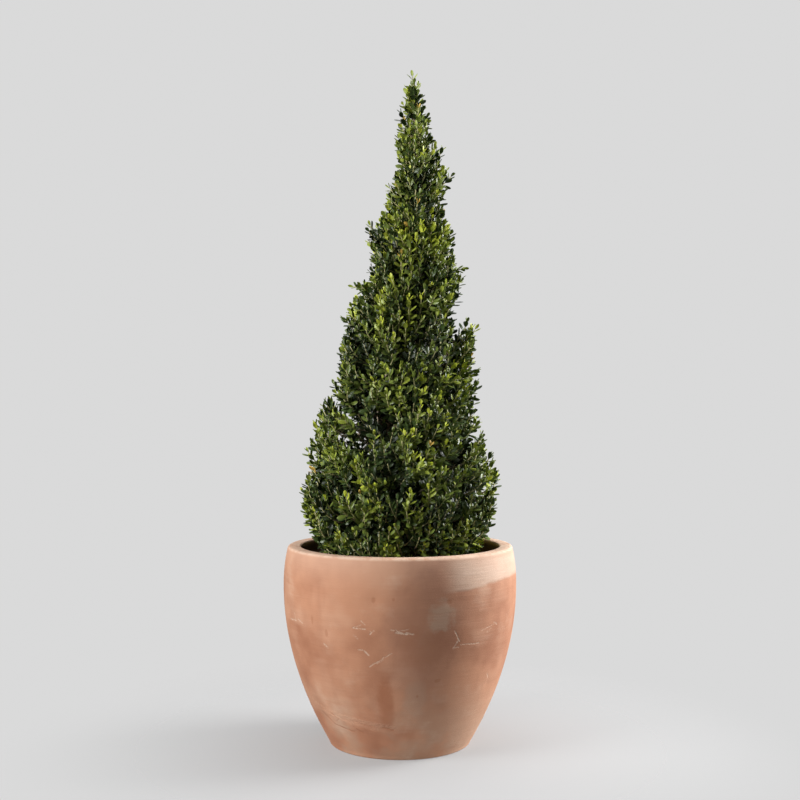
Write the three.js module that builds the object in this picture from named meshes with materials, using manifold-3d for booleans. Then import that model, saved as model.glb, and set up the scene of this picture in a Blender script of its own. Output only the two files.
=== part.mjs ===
// A boxwood clipped to a cone, planted in a round terracotta pot.
// Millimetres, +Z up. The origin is the centre of the pot's flat underside.
//
// The plant is one leaning trunk that runs up through the whole crown, a ring of boughs in each
// tier, and one closed mass of foliage at the end of each bough. The masses stand round a bare
// core, as clipped boxwood keeps its leaves near the light.

import * as THREE from 'three';
import { mergeVertices } from 'three/addons/utils/BufferGeometryUtils.js';
import Module from 'manifold-3d';

const wasm = await Module();
wasm.setup();

// Pot: a wide belly just under the lip, and a narrow foot.
const POT_HEIGHT = 405;
const FOOT_RADIUS = 143;
const BELLY_RADIUS = 240;
const BELLY_HEIGHT = 330;
const RIM_RADIUS = 231;
const WALL = 27;
const WALL_EXTRA_AT_FOOT = 6;
const FLOOR = 26;
const LIP_ROUND = 7;
const FOOT_ROUND = 5;
const DRAIN_RADIUS = 16;
const POT_SIDES = 32;
const BELLY_STEPS = 8;
const SHOULDER_STEPS = 3;
const INSIDE_STEPS = 4;

// Soil
const SOIL_LEVEL = 360;
const SOIL_LUMP = 5;
const SOIL_FLAT_RADIUS = 45;
const SOIL_RINGS = [45, 110, 170];

// Trunk
const TRUNK_FOOT_RADIUS = 16;
const TRUNK_TIP_RADIUS = 2.5;
const TRUNK_TIP = 1338;
const TRUNK_TAPER = 0.9;
const FLARE_RADIUS = 11;
const FLARE_HEIGHT = 26;
const FLARE_ROOTS = 5;
const FLARE_HOLLOW = 0.25;
const TRUNK_SLICES = 20;
const TRUNK_SIDES = 10;
const TRUNK_SLICE_SPREAD = 1.35;

// The line that trunk and crown follow: a lean to +X with a slow bend in it.
const LEAN_X = 27;
const LEAN_Y = -8;
const BEND_X = 7;

// Crown: a straight cone above its widest level, tucked in below it to pass the pot's lip.
const CROWN_FOOT = 370;
const CROWN_WIDEST = 510;
const CROWN_RADIUS = 200;
const CROWN_TIP = 1378;
const CONE_SLOPE = 0.2153;
const TUCK = 0.25;
const CORE_RATIO = 0.4;
const LUMP = 8;
const TUFT_TURN = 0.3;
const TUFT_HEIGHT = 34;

// Sprays that stand out of the clipped outline: bearing in degrees, height and reach.
const TUFTS = [
  { bearing: 0, height: 545, reach: 20 },
  { bearing: 180, height: 497, reach: 12 },
  { bearing: 0, height: 1165, reach: 14 },
  { bearing: 180, height: 1080, reach: 11 },
  { bearing: 180, height: 690, reach: 9 },
  { bearing: 0, height: 825, reach: 11 },
  { bearing: 90, height: 930, reach: 11 },
  { bearing: 270, height: 620, reach: 11 },
];

// Tiers of foliage from the pot upwards: height range, number of masses, bearing of the first,
// the radius of their boughs, and how many facets a mass has along each edge.
const TIERS = [
  { low: 370, high: 550, lobes: 6, bearing: 12, boughRadius: 6.5, grid: 5 },
  { low: 550, high: 745, lobes: 5, bearing: 50, boughRadius: 6, grid: 5 },
  { low: 745, high: 945, lobes: 4, bearing: 20, boughRadius: 5, grid: 4 },
  { low: 945, high: 1140, lobes: 3, bearing: 70, boughRadius: 3.6, grid: 4 },
];
const LEADER_SLICES = 11;
const LEADER_SIDES = 14;
const MASS_ROUND = 0.2;
const MASS_GAP = 5;

// How far the borders between the masses wander up and down, and round.
const WANDER_HEIGHT = 22;
const WANDER_TURN = 0.09;

// Boughs
const BOUGH_STEPS = 3;
const BOUGH_SIDES = 6;
const BOUGH_DEPTH = 0.22;
const BOUGH_STAGGER = 12;
const BOUGH_TAPER = 0.45;
const BOUGH_COLLAR = 0.5;

// Fits
const GAP = 0.3;
const CUT_GAP = 0.45;
const MERGE = 0.001;

const TAU = 2 * Math.PI;
const radians = THREE.MathUtils.degToRad;

// ---------- solids ----------

// One closed skin with shared corners, without the empty triangles that a pole leaves.
function closed(source) {
  source.deleteAttribute('normal');
  source.deleteAttribute('uv');
  const geometry = mergeVertices(source, MERGE);
  const corners = Array.from(geometry.index.array);
  const kept = [];
  for (let i = 0; i < corners.length; i += 3) {
    const [a, b, c] = corners.slice(i, i + 3);
    if (a !== b && b !== c && c !== a) {
      kept.push(a, b, c);
    }
  }
  geometry.setIndex(kept);
  return geometry;
}

// A profile of [radius, height] turned about the Z axis.
function turned(profile, sides) {
  const points = profile.map(([radius, height]) => new THREE.Vector2(radius, height));
  const geometry = new THREE.LatheGeometry(points, sides);
  geometry.rotateX(Math.PI / 2);
  return closed(geometry);
}

// A skin over rings of equal corner count, with a flat fan at each end.
function skinned(rings) {
  const sides = rings[0].length;
  const corners = rings.flat();
  const triangles = [];
  for (let ring = 0; ring + 1 < rings.length; ring += 1) {
    for (let side = 0; side < sides; side += 1) {
      const next = (side + 1) % sides;
      const a = ring * sides + side;
      const b = ring * sides + next;
      const c = a + sides;
      const d = b + sides;
      triangles.push(a, b, d, a, d, c);
    }
  }
  const last = (rings.length - 1) * sides;
  const footCentre = corners.length;
  const tipCentre = footCentre + 1;
  for (const ring of [rings[0], rings[rings.length - 1]]) {
    const centre = new THREE.Vector3();
    ring.forEach((corner) => centre.addScaledVector(corner, 1 / sides));
    corners.push(centre);
  }
  for (let side = 0; side < sides; side += 1) {
    const next = (side + 1) % sides;
    triangles.push(footCentre, next, side);
    triangles.push(tipCentre, last + side, last + next);
  }
  const geometry = new THREE.BufferGeometry().setFromPoints(corners);
  geometry.setIndex(triangles);
  return geometry;
}

function toSolid(geometry) {
  const vertProperties = new Float32Array(geometry.attributes.position.array);
  const triVerts = new Uint32Array(geometry.index.array);
  return new wasm.Manifold(new wasm.Mesh({ numProp: 3, vertProperties, triVerts }));
}

function fromSolid(solid) {
  const cut = solid.getMesh();
  const geometry = new THREE.BufferGeometry();
  geometry.setAttribute('position', new THREE.BufferAttribute(cut.vertProperties, 3));
  geometry.setIndex(new THREE.BufferAttribute(cut.triVerts, 1));
  return geometry;
}

// ---------- pot and soil ----------

function potRadius(height) {
  if (height < BELLY_HEIGHT) {
    const below = 1 - height / BELLY_HEIGHT;
    return BELLY_RADIUS - (BELLY_RADIUS - FOOT_RADIUS) * below ** 2;
  }
  const above = (height - BELLY_HEIGHT) / (POT_HEIGHT - BELLY_HEIGHT);
  return BELLY_RADIUS - (BELLY_RADIUS - RIM_RADIUS) * above ** 2;
}

function insideRadius(height) {
  const low = Math.max(0, 1 - height / BELLY_HEIGHT);
  return potRadius(height) - WALL - WALL_EXTRA_AT_FOOT * low;
}

// From one height to another in equal steps, both ends included.
function steps(from, to, count) {
  return Array.from({ length: count + 1 }, (_, i) => from + ((to - from) * i) / count);
}

// The levels, from the soil's surface down, at which the inner wall and the soil both turn.
function wallHeights() {
  return steps(SOIL_LEVEL, FLOOR, INSIDE_STEPS);
}

function potGeometry() {
  const lipStart = POT_HEIGHT - LIP_ROUND;
  const side = steps(FOOT_ROUND, BELLY_HEIGHT, BELLY_STEPS);
  const shoulder = steps(BELLY_HEIGHT, lipStart, SHOULDER_STEPS).slice(1);
  const outerLip = potRadius(lipStart);
  const innerLip = insideRadius(lipStart);
  const round = LIP_ROUND * (1 - Math.SQRT1_2);
  const profile = [
    [DRAIN_RADIUS, 0],
    [FOOT_RADIUS - FOOT_ROUND, 0],
    ...[...side, ...shoulder].map((height) => [potRadius(height), height]),
    [outerLip - round, POT_HEIGHT - round],
    [outerLip - LIP_ROUND, POT_HEIGHT],
    [innerLip + LIP_ROUND / 2, POT_HEIGHT],
    [innerLip, lipStart],
    ...wallHeights().map((height) => [insideRadius(height), height]),
    [DRAIN_RADIUS, FLOOR],
    [DRAIN_RADIUS, 0],
  ];
  return turned(profile, POT_SIDES);
}

function soilGeometry() {
  const wall = wallHeights().reverse();
  const profile = [
    [0, FLOOR + GAP],
    ...wall.map((height) => [insideRadius(height) - 2 * GAP, Math.max(height, FLOOR + GAP)]),
    ...[...SOIL_RINGS].reverse().map((radius) => [radius, SOIL_LEVEL]),
    [0, SOIL_LEVEL],
  ];
  const geometry = turned(profile, POT_SIDES);
  const position = geometry.attributes.position;
  for (let i = 0; i < position.count; i += 1) {
    const x = position.getX(i);
    const y = position.getY(i);
    const isTop = position.getZ(i) > SOIL_LEVEL - GAP;
    const isLumpy = Math.hypot(x, y) > SOIL_FLAT_RADIUS + 1;
    if (isTop && isLumpy) {
      const sink = 1 + Math.sin(x / 31 + 1) * Math.sin(y / 27);
      position.setZ(i, SOIL_LEVEL - (SOIL_LUMP * sink) / 2);
    }
  }
  return geometry;
}

// ---------- the line of the plant ----------

function spineX(height) {
  const along = THREE.MathUtils.smoothstep(height, SOIL_LEVEL, CROWN_TIP);
  const linear = (height - SOIL_LEVEL) / (CROWN_TIP - SOIL_LEVEL);
  return LEAN_X * along - BEND_X * Math.sin(TAU * linear);
}

function spineY(height) {
  return LEAN_Y * THREE.MathUtils.smoothstep(height, SOIL_LEVEL, CROWN_TIP);
}

// A point at a bearing, a height and a distance from the plant's line.
function around(turn, height, distance) {
  return new THREE.Vector3(
    spineX(height) + distance * Math.cos(turn),
    spineY(height) + distance * Math.sin(turn),
    height,
  );
}

// ---------- trunk ----------

function trunkRadius(height) {
  const along = (height - SOIL_LEVEL) / (TRUNK_TIP - SOIL_LEVEL);
  return THREE.MathUtils.lerp(TRUNK_FOOT_RADIUS, TRUNK_TIP_RADIUS, along ** TRUNK_TAPER);
}

// The flare spreads in a few rounded roots just above the soil. Grow widens every side.
function trunkGeometry(grow) {
  const foot = SOIL_LEVEL + GAP - grow;
  const tip = TRUNK_TIP + grow;
  const rings = steps(0, 1, TRUNK_SLICES).map((along) => {
    const height = THREE.MathUtils.lerp(foot, tip, along ** TRUNK_SLICE_SPREAD);
    const flare = FLARE_RADIUS * Math.exp(-Math.max(0, height - SOIL_LEVEL) / FLARE_HEIGHT);
    return Array.from({ length: TRUNK_SIDES }, (_, side) => {
      const turn = (TAU * side) / TRUNK_SIDES;
      const root = 1 - FLARE_HOLLOW * (1 - Math.cos(FLARE_ROOTS * turn));
      const radius = trunkRadius(Math.max(height, SOIL_LEVEL)) + flare * root + grow;
      return around(turn, height, radius);
    });
  });
  return skinned(rings);
}

// ---------- crown ----------

function coneRadius(height) {
  if (height >= CROWN_WIDEST) {
    return CROWN_RADIUS - CONE_SLOPE * (height - CROWN_WIDEST);
  }
  const below = (CROWN_WIDEST - height) / (CROWN_WIDEST - CROWN_FOOT);
  return CROWN_RADIUS * (1 - TUCK * below ** 1.5);
}

function lumps(turn, height) {
  const rise = height / 58;
  const broad = Math.sin(3 * turn + rise);
  const middle = Math.sin(5 * turn - 1.6 * rise + 1.7);
  const fine = Math.sin(8 * turn + 2.3 * rise + 4);
  return (broad + middle + fine) / 3;
}

function tufts(turn, height) {
  let reach = 0;
  for (const tuft of TUFTS) {
    const off = turn - radians(tuft.bearing);
    const aside = Math.atan2(Math.sin(off), Math.cos(off)) / TUFT_TURN;
    const above = (height - tuft.height) / TUFT_HEIGHT;
    reach += tuft.reach * Math.exp(-(aside ** 2) - above ** 2);
  }
  return reach;
}

function crownRadius(turn, height) {
  const cone = coneRadius(height);
  const unevenness = LUMP * Math.sqrt(cone / CROWN_RADIUS);
  return cone + unevenness * lumps(turn, height) + tufts(turn, height);
}

// The borders between the masses wander, in the same way on both sides of each border.
function wanderTurn(bearing, level) {
  return bearing + WANDER_TURN * Math.sin(level / 45 + 2 * bearing);
}

function wanderHeight(bearing, level) {
  const foot = THREE.MathUtils.smoothstep(level, CROWN_FOOT, CROWN_FOOT + 120);
  const tip = 1 - THREE.MathUtils.smoothstep(level, CROWN_TIP - 200, CROWN_TIP);
  return level + WANDER_HEIGHT * foot * tip * Math.sin(3 * bearing + level / 120);
}

// A rounded block of foliage that fills one bearing range and one height range of the crown.
function massGeometry(tier, middle, halfTurn) {
  const geometry = closed(new THREE.BoxGeometry(2, 2, 2, tier.grid, tier.grid, tier.grid));
  const position = geometry.attributes.position;
  const centre = (tier.low + tier.high) / 2;
  const halfHeight = (tier.high - tier.low - MASS_GAP) / 2;
  const corner = new THREE.Vector3();
  for (let i = 0; i < position.count; i += 1) {
    corner.fromBufferAttribute(position, i);
    corner.lerp(corner.clone().normalize(), MASS_ROUND);
    const level = centre + halfHeight * corner.y;
    const core = CORE_RATIO * coneRadius(level);
    const trimmed = halfTurn - MASS_GAP / 2 / core;
    const bearing = middle + trimmed * corner.x;
    const turn = wanderTurn(bearing, level);
    const height = wanderHeight(bearing, level);
    const outward = (corner.z + 1) / 2;
    const distance = THREE.MathUtils.lerp(core, crownRadius(turn, height), outward);
    const point = around(turn, height, distance);
    position.setXYZ(i, point.x, point.y, point.z);
  }
  return geometry;
}

// The leader: one tall mass that closes the cone round the last of the trunk. Its underside
// wanders with the top of the tier below, from the core outwards.
function leaderGeometry() {
  const low = TIERS[TIERS.length - 1].high + MASS_GAP / 2;
  const ringAt = (level, share) =>
    Array.from({ length: LEADER_SIDES }, (_, side) => {
      const bearing = (TAU * side) / LEADER_SIDES;
      const turn = wanderTurn(bearing, level);
      const height = wanderHeight(bearing, level);
      return around(turn, height, share * crownRadius(turn, height));
    });
  const rings = steps(0, 1, LEADER_SLICES).map((along) => {
    const footRound = Math.min(1, 0.85 + 2.2 * along);
    const tipRound = Math.sqrt(Math.max(0.02, 1 - along ** 9));
    return ringAt(THREE.MathUtils.lerp(low, CROWN_TIP, along), footRound * tipRound);
  });
  return skinned([ringAt(low, CORE_RATIO), ...rings]);
}

// ---------- boughs ----------

// A bough leaves the trunk low in its tier, climbs outwards and ends just inside its mass.
function boughGeometry(tier, middle, lift, grow) {
  const span = tier.high - tier.low;
  const startHeight = tier.low + 0.14 * span + lift;
  const endHeight = tier.low + 0.55 * span;
  const turn = wanderTurn(middle, endHeight);
  const core = CORE_RATIO * coneRadius(endHeight);
  const reach = core + BOUGH_DEPTH * (coneRadius(endHeight) - core);
  const knee = around(turn, startHeight + 0.3 * (endHeight - startHeight), 0.62 * reach);
  const end = around(turn, endHeight, reach);
  const curve = new THREE.QuadraticBezierCurve3(around(turn, startHeight, 0), knee, end);
  const frames = curve.computeFrenetFrames(BOUGH_STEPS, false);
  const rings = steps(0, 1, BOUGH_STEPS).map((along, i) => {
    const centre = curve.getPointAt(along);
    const collar = 1 + BOUGH_COLLAR * (1 - along) ** 4;
    const radius = tier.boughRadius * collar * (1 - BOUGH_TAPER * along) + grow;
    const push = i === BOUGH_STEPS ? grow : 0;
    centre.addScaledVector(frames.tangents[i], push);
    return Array.from({ length: BOUGH_SIDES }, (_, side) => {
      const spin = (TAU * side) / BOUGH_SIDES;
      const corner = centre.clone();
      corner.addScaledVector(frames.normals[i], radius * Math.cos(spin));
      corner.addScaledVector(frames.binormals[i], radius * Math.sin(spin));
      return corner;
    });
  });
  return skinned(rings);
}

// ---------- materials ----------

function finish(color, roughness) {
  return new THREE.MeshStandardMaterial({ color, roughness, metalness: 0 });
}

const terracotta = () => finish(0xc98a66, 0.85);
const earth = () => finish(0x2b1e17, 0.95);
const bark = () => finish(0x8a7558, 0.8);
const leafage = () => finish(0x3d5a22, 0.6);

// ---------- assembly ----------

const plant = new THREE.Group();

function add(name, geometry, material) {
  const mesh = new THREE.Mesh(geometry, material);
  mesh.name = name;
  plant.add(mesh);
}

add('pot', potGeometry(), terracotta());
add('soil', soilGeometry(), earth());
add('trunk', trunkGeometry(0), bark());

const trunkRoom = toSolid(trunkGeometry(CUT_GAP));

TIERS.forEach((tier, level) => {
  const halfTurn = Math.PI / tier.lobes;
  for (let lobe = 0; lobe < tier.lobes; lobe += 1) {
    const middle = radians(tier.bearing) + 2 * halfTurn * lobe;
    const lift = BOUGH_STAGGER * (lobe % 3);
    const bough = toSolid(boughGeometry(tier, middle, lift, 0));
    const boughRoom = toSolid(boughGeometry(tier, middle, lift, CUT_GAP));
    const mass = toSolid(massGeometry(tier, middle, halfTurn));
    const place = `tier${level + 1}_${lobe + 1}`;
    add(`bough_${place}`, fromSolid(bough.subtract(trunkRoom)), bark());
    add(`foliage_${place}`, fromSolid(mass.subtract(boughRoom)), leafage());
  }
});

const leader = toSolid(leaderGeometry());
add('foliage_leader', fromSolid(leader.subtract(trunkRoom)), leafage());

export default plant;
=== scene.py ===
# %% [markdown]
# # A boxwood cone in a terracotta pot
# The real thing is a small boxwood, clipped to a cone and grown on in a round clay pot.
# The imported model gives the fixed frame: where the pot, soil, trunk, boughs and foliage masses
# are. Here each of them gets its real surface. The pot becomes hand-finished clay, the trunk and
# boughs get bark, and each smooth foliage mass is grown as twigs and thousands of small leaves.

# %% Load the frame
import math

import bmesh
import bpy
import numpy as np
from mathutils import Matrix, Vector, noise


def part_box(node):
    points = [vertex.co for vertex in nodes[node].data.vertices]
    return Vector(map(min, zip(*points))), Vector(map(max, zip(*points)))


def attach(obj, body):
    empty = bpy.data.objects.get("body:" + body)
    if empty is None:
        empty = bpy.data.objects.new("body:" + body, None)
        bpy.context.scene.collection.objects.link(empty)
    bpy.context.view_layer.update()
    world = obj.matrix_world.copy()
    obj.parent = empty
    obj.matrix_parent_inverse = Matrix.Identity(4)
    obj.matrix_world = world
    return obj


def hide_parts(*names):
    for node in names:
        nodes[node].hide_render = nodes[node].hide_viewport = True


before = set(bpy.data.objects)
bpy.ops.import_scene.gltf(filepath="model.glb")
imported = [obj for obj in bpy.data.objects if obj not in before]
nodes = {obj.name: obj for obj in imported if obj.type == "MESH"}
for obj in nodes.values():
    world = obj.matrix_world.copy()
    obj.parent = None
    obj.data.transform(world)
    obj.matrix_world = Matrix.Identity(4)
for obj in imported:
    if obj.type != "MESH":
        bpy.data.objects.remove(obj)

scene = bpy.context.scene
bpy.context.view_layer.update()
print("frame:", len(nodes), "solids")

# %% [markdown]
# ## Writing node trees as sums
# Shaders and Geometry Nodes are built from Math nodes, and a sum written with operators is easier
# to read than a row of nodes. `Value` wraps one socket and adds a Math node for each operator.
# `Tree` makes every other node through one method: its type, its settings, and its inputs.

# %% Node helpers
def operator(operation, reflected=False):
    """An operator of Value, which adds one Math node."""
    def add_node(value, other):
        terms = (other, value) if reflected else (value, other)
        return value.tree.maths(operation, *terms)
    return add_node


class Value:
    """One output socket, which takes part in sums like a number."""

    def __init__(self, tree, socket):
        self.tree = tree
        self.socket = socket

    __add__ = operator("ADD")
    __radd__ = operator("ADD", reflected=True)
    __sub__ = operator("SUBTRACT")
    __rsub__ = operator("SUBTRACT", reflected=True)
    __mul__ = operator("MULTIPLY")
    __rmul__ = operator("MULTIPLY", reflected=True)
    __truediv__ = operator("DIVIDE")
    __rtruediv__ = operator("DIVIDE", reflected=True)
    __pow__ = operator("POWER")
    __gt__ = operator("GREATER_THAN")
    __lt__ = operator("LESS_THAN")

    def __neg__(self):
        return self * -1.0

    def __abs__(self):
        return self.tree.maths("ABSOLUTE", self)


class Tree:
    """A node tree with one method for each kind of step."""

    def __init__(self, node_tree):
        self.node_tree = node_tree

    def feed(self, socket, value):
        if isinstance(value, Value):
            self.node_tree.links.new(value.socket, socket)
        else:
            socket.default_value = value

    def node(self, kind, settings=None, inputs=None, output=0):
        node = self.node_tree.nodes.new(kind)
        for name, setting in (settings or {}).items():
            setattr(node, name, setting)
        for key, value in (inputs or {}).items():
            self.feed(node.inputs[key], value)
        return Value(self, node.outputs[output])

    def maths(self, operation, *terms):
        return self.node("ShaderNodeMath", {"operation": operation}, dict(enumerate(terms)))

    def other(self, value, name):
        """Another output of the node that gave this value."""
        return Value(self, value.socket.node.outputs[name])

    def axes(self, vector):
        """The three numbers of a vector."""
        x = self.node("ShaderNodeSeparateXYZ", None, {0: vector})
        return x, self.other(x, "Y"), self.other(x, "Z")

    def vector(self, **axes):
        return self.node("ShaderNodeCombineXYZ", None, axes)

    def fade(self, value, start, end):
        """Goes smoothly from 0 where value is at start to 1 where it is at end."""
        ends = {"Value": value, "From Min": start, "From Max": end}
        return self.node("ShaderNodeMapRange", {"interpolation_type": "SMOOTHSTEP"}, ends)

    def cloud(self, vector, scale, detail=3.0, stretch=(1.0, 1.0, 1.0)):
        """Noise from 0 to 1, with features about 1 / scale metres across, stretched by axis."""
        scales = {0: vector, 1: tuple(scale * s for s in stretch)}
        stretched = self.node("ShaderNodeVectorMath", {"operation": "MULTIPLY"}, scales)
        return self.node("ShaderNodeTexNoise", None, {
            "Vector": stretched, "Scale": 1.0, "Detail": detail, "Roughness": 0.6,
        })

    def blend(self, share, first, second):
        """A colour between two colours."""
        ends = {6: first, 7: second}
        for key, colour in ends.items():
            if isinstance(colour, tuple):
                ends[key] = (*colour, 1.0)
        return self.node("ShaderNodeMix", {"data_type": "RGBA"}, {0: share, **ends}, output=2)

    def relief(self, height, distance, under=None):
        """A bumped normal from a height field, with distance its full height in metres."""
        inputs = {"Height": height, "Distance": distance, "Strength": 1.0}
        if under is not None:
            inputs["Normal"] = under
        return self.node("ShaderNodeBump", None, inputs)

    def set_shader(self, sockets):
        """Sets a material's shader sockets, or links them where the value is a node's."""
        shader = self.node_tree.nodes["Principled BSDF"]
        for name, value in sockets.items():
            self.feed(shader.inputs[name], value)
        return Value(self, shader.outputs[0])


def new_material(name):
    """A material, its tree, and the place on the object where it is looked up."""
    material = bpy.data.materials.new(name)
    material.use_nodes = True
    tree = Tree(material.node_tree)
    return material, tree, tree.node("ShaderNodeTexCoord", output="Object")


print("node helpers ready")

# %% [markdown]
# ## Sizes
# Every place comes from the frame, so the looks sit on the solids with no fitting. Only what the
# solids don't hold is set here, such as the roundings of the lip.

# %% Sizes from the frame
_, pot_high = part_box("pot")
_, soil_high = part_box("soil")
_, trunk_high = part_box("trunk")
POT_HEIGHT = pot_high.z
BELLY_RADIUS = pot_high.x
BELLY_HEIGHT = 0.330
FOOT_RADIUS = 0.143
RIM_RADIUS = 0.231
WALL = 0.027
WALL_EXTRA_AT_FOOT = 0.006
FLOOR = 0.026
LIP_ROUND = 0.007
LIP_INNER_ROUND = 0.003
FOOT_ROUND = 0.005
DRAIN_RADIUS = 0.016
SOIL_LEVEL = soil_high.z
print(f"pot {POT_HEIGHT:.3f} m high, soil at {SOIL_LEVEL:.3f} m, trunk to {trunk_high.z:.3f} m")

# %% [markdown]
# ## Camera, floor and light
# The camera stands level at two and a half metres, a bit above the pot's rim, with a lens slightly
# longer than normal. A disc of pale floor fades out into a pale surround. Two tall soft lamps stand
# at the sides, so the round pot is bright at both edges and darker in its middle.

# %% Camera
CAMERA_DISTANCE = 2.505
CAMERA_HEIGHT = 0.704
CAMERA_LENS = 54.4


def add_object(name, data):
    piece = bpy.data.objects.new(name, data)
    scene.collection.objects.link(piece)
    return piece


camera = add_object("camera", bpy.data.cameras.new("camera"))
camera.data.lens = CAMERA_LENS
camera.data.sensor_width = 36.0
camera.location = (0.0, -CAMERA_DISTANCE, CAMERA_HEIGHT)
camera.rotation_euler = (math.radians(90), 0.0, 0.0)
scene.camera = camera
print("camera at", tuple(round(c, 3) for c in camera.location))

# %% Floor
FLOOR_SHADE = 0.25
FLOOR_GLOW = 0.27
FLOOR_RADIUS = 4.0
FLOOR_SIDES = 96
FADE_START = 0.26
FADE_END = 0.85


def floor_material():
    """Pale and matt, with a faint glow that softens shadows, and clear from the fade outwards."""
    material, tree, place = new_material("studio_floor")
    solid = tree.set_shader({
        "Base Color": (FLOOR_SHADE, FLOOR_SHADE, FLOOR_SHADE * 1.01, 1.0),
        "Roughness": 0.75,
        "Specular IOR Level": 0.20,
        "Emission Color": (1.0, 1.0, 1.0, 1.0),
        "Emission Strength": FLOOR_GLOW,
    })
    away = tree.node("ShaderNodeVectorMath", {"operation": "LENGTH"}, {0: place}, output="Value")
    clear = tree.node("ShaderNodeBsdfTransparent")
    mixed = tree.node("ShaderNodeMixShader", None, {
        0: tree.fade(away, FADE_START, FADE_END), 1: solid, 2: clear,
    })
    tree.feed(material.node_tree.nodes["Material Output"].inputs["Surface"], mixed)
    return material


def circle(radius, sides):
    """The corners of a round outline, level with the ground."""
    turns = np.linspace(0, 2 * math.pi, sides, endpoint=False)
    return [(radius * math.cos(t), radius * math.sin(t)) for t in turns]


def new_mesh(name, points, faces, edges=()):
    mesh = bpy.data.meshes.new(name)
    mesh.from_pydata(points, edges, faces)
    return mesh


def add_mesh(name, points, faces):
    return add_object(name, new_mesh(name, points, faces))


floor_corners = [(x, y, 0.0) for x, y in circle(FLOOR_RADIUS, FLOOR_SIDES)]
floor = add_mesh("floor", floor_corners, [list(range(FLOOR_SIDES))])
floor.data.materials.append(floor_material())
print("floor", FLOOR_RADIUS, "m in radius")

# %% Light
BACKDROP = 0.70
AMBIENT = 0.125
LAMPS = {
    "left_lamp": {"place": (-2.15, -1.30, 1.40), "size": (1.3, 2.0), "power": 92, "aim": 0.75},
    "right_lamp": {"place": (2.30, 0.50, 1.30), "size": (1.3, 1.9), "power": 148, "aim": 0.75},
    "top_lamp": {"place": (0.0, 0.6, 3.0), "size": (2.4, 2.4), "power": 46, "aim": 0.5},
}


def surround():
    """The camera sees a pale backdrop, and the object gets a dimmer, even fill."""
    world = bpy.data.worlds.new("studio")
    scene.world = world
    world.use_nodes = True
    tree = Tree(world.node_tree)
    seen = tree.node("ShaderNodeLightPath", output="Is Camera Ray")
    background = world.node_tree.nodes["Background"]
    background.inputs["Color"].default_value = (1.0, 1.0, 1.0, 1.0)
    tree.feed(background.inputs["Strength"], AMBIENT + (BACKDROP - AMBIENT) * seen)


def lamp(name, place, size, power, aim):
    """A soft panel at a place, turned to a height on the object's axis."""
    piece = add_object(name, bpy.data.lights.new(name, "AREA"))
    piece.data.shape = "RECTANGLE"
    piece.data.size, piece.data.size_y = size
    piece.data.energy = power
    piece.location = place
    towards = Vector((0, 0, aim)) - Vector(place)
    piece.rotation_euler = towards.to_track_quat("-Z", "Y").to_euler()
    piece.visible_camera = False


surround()
for lamp_name, settings in LAMPS.items():
    lamp(lamp_name, **settings)
scene.view_settings.view_transform = "Standard"
print(len(LAMPS), "lamps")

# %% [markdown]
# ## Running a Geometry Nodes tree
# Repeated shapes are made by small trees. A tree runs as a modifier on a holder object, its inputs
# set by each socket's identifier. `new_from_object` turns the result into a plain mesh, and the
# holder goes, so that a finished piece has no live modifier.

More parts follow.
